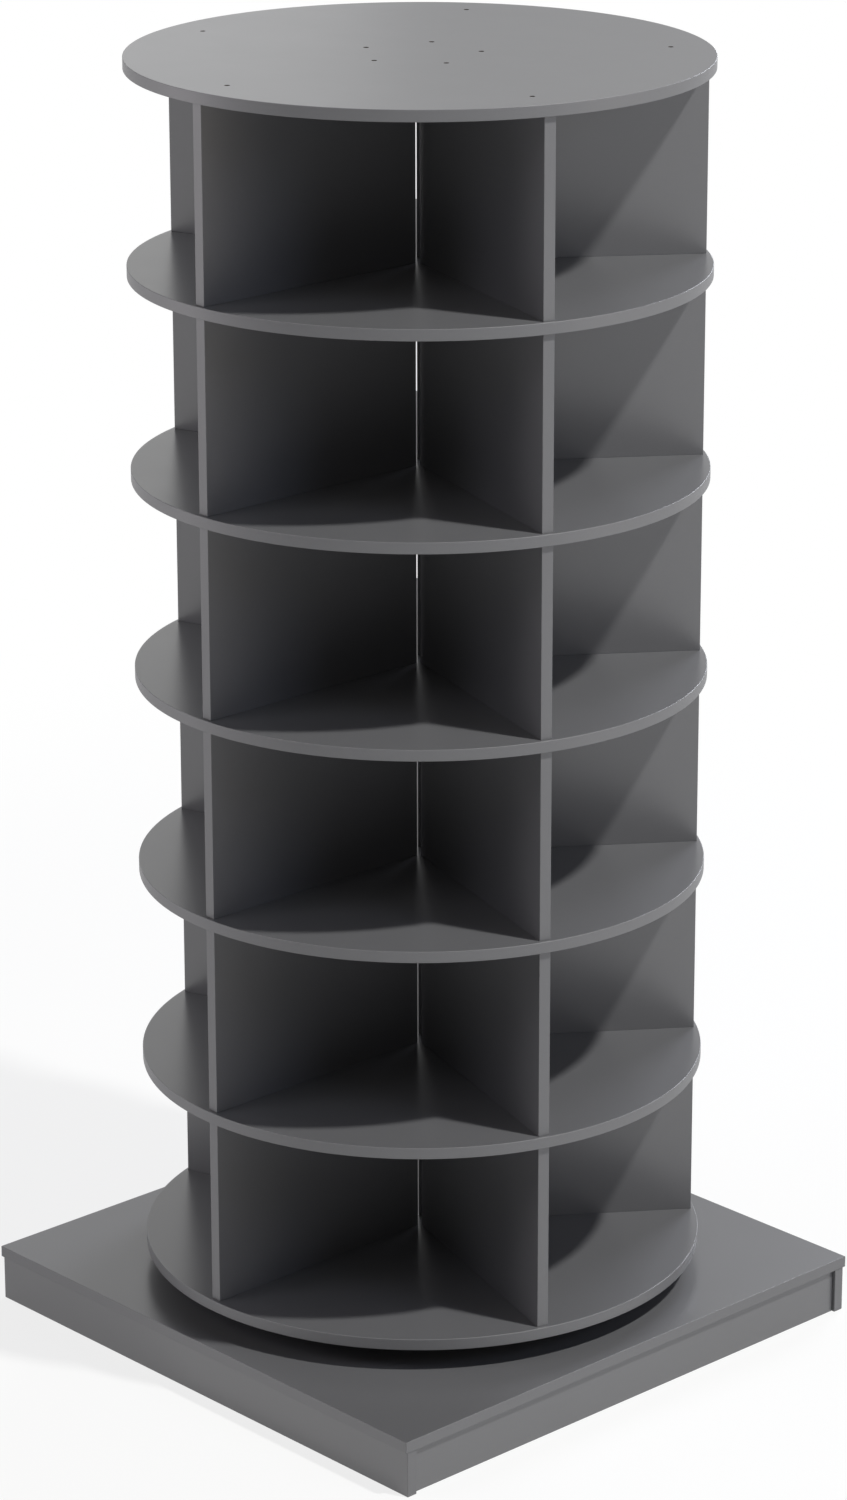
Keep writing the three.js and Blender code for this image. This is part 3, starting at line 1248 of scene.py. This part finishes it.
@dataclass
class Drum:
    """The turning drum: seven discs, thirty panels in six tiers, a spacer and ten screws."""

    palette: Palette
    bottom: float
    board: float = 0.015
    arris: float = 0.0008
    disc_radius: float = 0.3675
    disc_columns: int = 288
    spacer_radius: float = 0.1975
    tiers: int = 6
    spokes: int = 5
    panel_height: float = 0.247
    panel_outer: float = 0.3625
    panel_slit: float = 0.005
    panel_arris: float = 0.0004
    outer_fixing_inset: float = 0.048
    inner_fixing_inset: float = 0.062
    fit: float = 0.0003
    dowel_radius: float = 0.004
    dowel_grip: float = 0.020
    dowel_room: float = 0.0015
    dowel_collar: float = 0.001
    dowel_chamfer: float = 0.0015
    dowel_tip_share: float = 0.85
    dowel_columns: int = 48
    foot_dowel_reach: float = 0.012
    drill_cone_share: float = 0.2
    screw_sink: float = 0.001
    screw_room: float = 0.002
    seat_chamfer: float = 0.0003
    screw: TopScrew = field(default_factory=TopScrew)

    @property
    def panel_inner(self) -> float:
        """Radius of a panel's inner edge, which leaves the slit between neighbours' corners."""
        half_step = FULL_TURN / self.spokes / 2
        return (self.board / 2 * math.cos(half_step) + self.panel_slit / 2) / math.sin(half_step)

    @property
    def fixing_radii(self) -> Pair:
        """Radii of the outer and the inner fixing of every panel."""
        inner = self.panel_inner + self.inner_fixing_inset
        return self.panel_outer - self.outer_fixing_inset, inner

    @property
    def tier_pitch(self) -> float:
        """Height from one disc to the next."""
        return self.panel_height + self.board

    @property
    def dowel_hole_radius(self) -> float:
        """Radius of the holes that take the dowels."""
        return self.dowel_radius + self.fit

    def spoke_angle(self, spoke: int) -> float:
        """The way a panel points, from the axis."""
        return -QUARTER_TURN + spoke * FULL_TURN / self.spokes

    def disc(self, foot: float, bore: Bore) -> Shell:
        """A disc with a bore at every fixing.

        Args:
            foot: Height of its lower face.
            bore: The bore, about the axis.

        Returns:
            The disc.
        """
        outline = Outline.circle(self.disc_radius, self.arris, self.disc_columns)
        angles = [self.spoke_angle(spoke) for spoke in range(self.spokes)]
        centres = [polar(radius, angle) for angle in angles for radius in self.fixing_radii]
        bores = tuple(replace(bore, centre=centre) for centre in centres)
        return Shell().slab(outline, foot, foot + self.board, bores_up=bores)

    def drilled(self, top: float, depth: float, radius: float, blind: bool) -> Bore:
        """A drilled hole, through or with the cone of the drill at its end.

        Args:
            top: Height of its mouth.
            depth: Its depth at the wall.
            radius: Its radius.
            blind: Whether it stops in the board.

        Returns:
            The bore, about the axis.
        """
        end = top - depth
        if blind:
            return Bore((radius, radius, 0.0), (top, end, end - self.drill_cone_share * radius))
        return Bore((radius, radius), (top, end))

    def sunk_bore(self, top: float) -> Bore:
        """The screw's hole through the top disc: a round seat, a cone and the shank's clearance.

        Args:
            top: Height of its mouth.

        Returns:
            The bore, about the axis.
        """
        head, shank = self.screw.head_radius + self.fit, self.screw.shank_radius + self.fit
        seat = top - self.screw_sink - self.screw.head_edge - self.fit
        chamfer, cone_end = self.seat_chamfer, seat - self.screw.head_cone
        heights = (top, top - chamfer, seat, cone_end, top - self.board)
        return Bore((head + chamfer, head, head, shank, shank), heights)

    def dowel(self, foot: float, reach: float) -> Bore:
        """A dowel under a panel: a plain collar, flutes and a chamfered tip.

        Args:
            foot: Height of the panel's lower edge.
            reach: How far it stands out.

        Returns:
            The peg, about the axis.
        """
        radius, end = self.dowel_radius, foot - reach
        return Bore(
            (radius, radius, radius, self.dowel_tip_share * radius, 0.0),
            (foot, foot - self.dowel_collar, end + self.dowel_chamfer, end, end),
            peg=True,
            flutes=(0, 1, 1, 0, 0),
            skin=Skin.DOWEL,
            columns=self.dowel_columns,
        )

    def panel(self, tier: int) -> Shell:
        """A panel along +X at its own height, with its two dowels below and two holes above.

        Args:
            tier: Its tier, from 0 at the foot of the drum.

        Returns:
            The panel, before it is turned to its spoke.
        """
        foot = self.bottom + self.board + tier * self.tier_pitch
        top, half = foot + self.panel_height, self.board / 2
        peg = self.dowel(foot, self.board + self.dowel_grip if tier else self.foot_dowel_reach)
        if tier == self.tiers - 1:
            depth = self.screw.length + self.screw_sink - self.board + self.screw_room
            hole = self.drilled(top, depth, self.screw.shank_radius + self.fit, True)
        else:
            depth = self.dowel_grip + self.dowel_room
            hole = self.drilled(top, depth, self.dowel_hole_radius, True)
        inner, outer = (self.panel_inner, -half), (self.panel_outer, half)
        return Shell().slab(
            Outline.rectangle(inner, outer, self.panel_arris),
            foot,
            top,
            bores_up=tuple(replace(hole, centre=(radius, 0)) for radius in self.fixing_radii),
            bores_down=tuple(replace(peg, centre=(radius, 0)) for radius in self.fixing_radii),
            broad=Broad.Y,
        )

    def build_discs(self) -> None:
        """Builds the spacer, the bottom disc, the shelves and the top disc."""
        wood = [self.palette.board, self.palette.core]
        spacer = Outline.circle(self.spacer_radius, self.arris, self.disc_columns // 2)
        shells = {"spacer_disc": Shell().slab(spacer, self.bottom - self.board, self.bottom)}
        for tier in range(self.tiers):
            foot, lowest = self.bottom + tier * self.tier_pitch, tier == 0
            depth = self.foot_dowel_reach + self.fit if lowest else self.board
            hole = self.drilled(foot + self.board, depth, self.dowel_hole_radius, lowest)
            name = "bottom_disc" if lowest else f"shelf_disc_{tier + 1}"
            shells[name] = self.disc(foot, hole)
        for node, shell in shells.items():
            show(shell, f"{node}_painted", node, Body.DRUM, wood)
        foot = self.bottom + self.tiers * self.tier_pitch
        top_disc = self.disc(foot, self.sunk_bore(foot + self.board))
        # the screw seats' walls take near-black fibreboard, painted shade in those recesses
        wood = [self.palette.board, self.palette.seat_painted_shade]
        show(top_disc, "top_disc_painted", "top_disc", Body.DRUM, wood)

    def build_panels(self) -> None:
        """Builds every tier's panels, each turned to its spoke."""
        wood = [self.palette.board, self.palette.core, self.palette.dowel]
        for tier in range(self.tiers):
            upright = self.panel(tier)
            for spoke in range(self.spokes):
                node = f"tier_{tier + 1}_panel_{spoke + 1}"
                shell = upright.moved(spin(self.spoke_angle(spoke)))
                show(shell, f"{node}_painted", node, Body.DRUM, wood)

    def build_screws(self) -> None:
        """Builds the ten screws in the top disc."""
        top = self.bottom + self.tiers * self.tier_pitch + self.board - self.screw_sink
        upright = self.screw.shell()
        for spoke in range(self.spokes):
            angle = self.spoke_angle(spoke)
            for place, radius in zip(("outer", "inner"), self.fixing_radii):
                node = f"{place}_screw_{spoke + 1}"
                shell = upright.moved(spin(angle), (*polar(radius, angle), top))
                show(shell, f"{node}_threaded", node, Body.DRUM, [self.palette.screw])

    def build(self) -> None:
        """Builds the whole drum."""
        self.build_discs()
        self.build_panels()
        self.build_screws()


# Studio


@dataclass(frozen=True)
class SoftLamp:
    """A round soft lamp that looks at the tower. Azimuth and elevation are in degrees."""

    name: str
    azimuth: float
    elevation: float
    level: float
    tint: Triple = (1.0, 1.0, 1.0)
    distance: float = 7.0
    size: float = 2.6

    def hang(self, target: Vector) -> None:
        """Hangs the lamp. Its power makes a facing surface at the target as bright as its level.

        A lamp of power P lights what faces it at a distance d with P / (pi d^2), and a white
        surface there sends back that over pi.

        Args:
            target: What it looks at.
        """
        turn, lift = math.radians(self.azimuth), math.radians(self.elevation)
        flat = math.cos(lift)
        back = Vector((math.sin(turn) * flat, -math.cos(turn) * flat, math.sin(lift)))
        lamp = bpy.data.lights.new(self.name, "AREA")
        lamp.shape = "DISK"
        lamp.size = self.size
        lamp.energy = self.level * math.pi**2 * self.distance**2
        lamp.color = self.tint
        hung = bpy.data.objects.new(self.name, lamp)
        hung.location = target + back * self.distance
        hung.rotation_mode = "QUATERNION"
        hung.rotation_quaternion = back.to_track_quat("Z", "Y")
        hung.visible_camera = False
        bpy.context.scene.collection.objects.link(hung)


@dataclass
class Studio:
    """The pale floor, the lamps, the white surroundings and the camera. Angles are in degrees."""

    target: Triple = (0, 0, 0.85)
    floor_radius: float = 40.0
    floor_columns: int = 96
    world_level: float = 0.01
    mirrored_level: float = 0.547
    camera_azimuth: float = 47.0649
    camera_turn: float = 0.3723
    camera_pitch: float = 17.8914
    camera_distance: float = 5.92488
    camera_height: float = 2.77425
    lens: float = 115.9136
    shift: Pair = (-0.018381, -0.038196)
    lamps: tuple[SoftLamp, ...] = (
        SoftLamp("key_right", 107.9, 56, 0.79, (1.0, 1.0, 0.965), distance=7.5, size=0.4),
        SoftLamp("side_right", 107, 25, 0.115, (0.70, 0.79, 1.0)),
        SoftLamp("low_right", 118, 5, 0.05, (1.0, 0.87, 0.72)),
        SoftLamp("low_left", 310, 5, 0.162, (1.0, 0.94, 0.98)),
        SoftLamp("front_left", 335, 28, 0.081, (0.84, 0.84, 1.0)),
        SoftLamp("high_front", 347, 45, 0.066, (1.0, 0.97, 0.84), size=3.4),
        SoftLamp("side_left", 257, 25, 0.053, (0.96, 1.0, 1.0)),
        SoftLamp("back_left", 244, 12, 0.045, size=4.0),
        SoftLamp("back_right", 197, 25, 0.44, (0.87, 0.90, 1.0)),
    )

    def lay_floor(self) -> None:
        """Lays a round floor under the tower."""
        ring = circle_points((0, 0), self.floor_radius, self.floor_columns)
        mesh = bpy.data.meshes.new("studio_floor")
        mesh.from_pydata(np.column_stack([ring, 0 * ring[:, 0]]), [], [list(range(len(ring)))])
        mesh.materials.append(PaleFloor().material())
        floor = bpy.data.objects.new("studio_floor", mesh)
        bpy.context.scene.collection.objects.link(floor)

    def light(self) -> None:
        """Hangs the lamps and sets the world: white where it is seen, grey in gloss, else faint."""
        for lamp in self.lamps:
            lamp.hang(Vector(self.target))
        world = bpy.data.worlds.new("studio_world")
        world.use_nodes = True
        bpy.context.scene.world = world
        brush = Brush(world.node_tree)
        seen = brush.ray(Ray.CAMERA).most(brush.ray(Ray.THROUGH))
        level = self.world_level + (1 - self.world_level) * seen
        level = level + (self.mirrored_level - self.world_level) * brush.ray(Ray.GLOSSY)
        sky = brush.node("ShaderNodeBackground", {}, {"Color": grey(1.0), "Strength": level})
        brush.node("ShaderNodeOutputWorld", {}, {"Surface": sky})

    def aim_camera(self) -> None:
        """Sets the camera at the photograph's place, level, with the frame's own shift."""
        camera = bpy.data.cameras.new("studio_camera")
        camera.lens = self.lens
        camera.shift_x, camera.shift_y = self.shift
        stand = bpy.data.objects.new("studio_camera", camera)
        turn = math.radians(self.camera_azimuth)
        stand.location = (*polar(self.camera_distance, turn - QUARTER_TURN), self.camera_height)
        pitch = QUARTER_TURN - math.radians(self.camera_pitch)
        stand.rotation_euler = (pitch, 0, turn - math.radians(self.camera_turn))
        bpy.context.scene.collection.objects.link(stand)
        bpy.context.scene.camera = stand

    def build(self) -> None:
        """Builds the studio and sets the plain view transform."""
        self.lay_floor()
        self.light()
        self.aim_camera()
        bpy.context.scene.view_settings.view_transform = "Standard"
        log.info("studio with %d lamps", len(self.lamps))


def main() -> None:
    """Builds the studio and every sub-assembly, from the floor up."""
    logging.basicConfig(level=logging.INFO, format="%(message)s")
    Studio().build()
    palette = Palette()
    plinth = Plinth(palette)
    plinth.build()
    bearing = RingBearing(palette, plinth.top)
    bearing.build()
    Drum(palette, plinth.top + bearing.height + plinth.board).build()


if __name__ == "__main__":
    main()
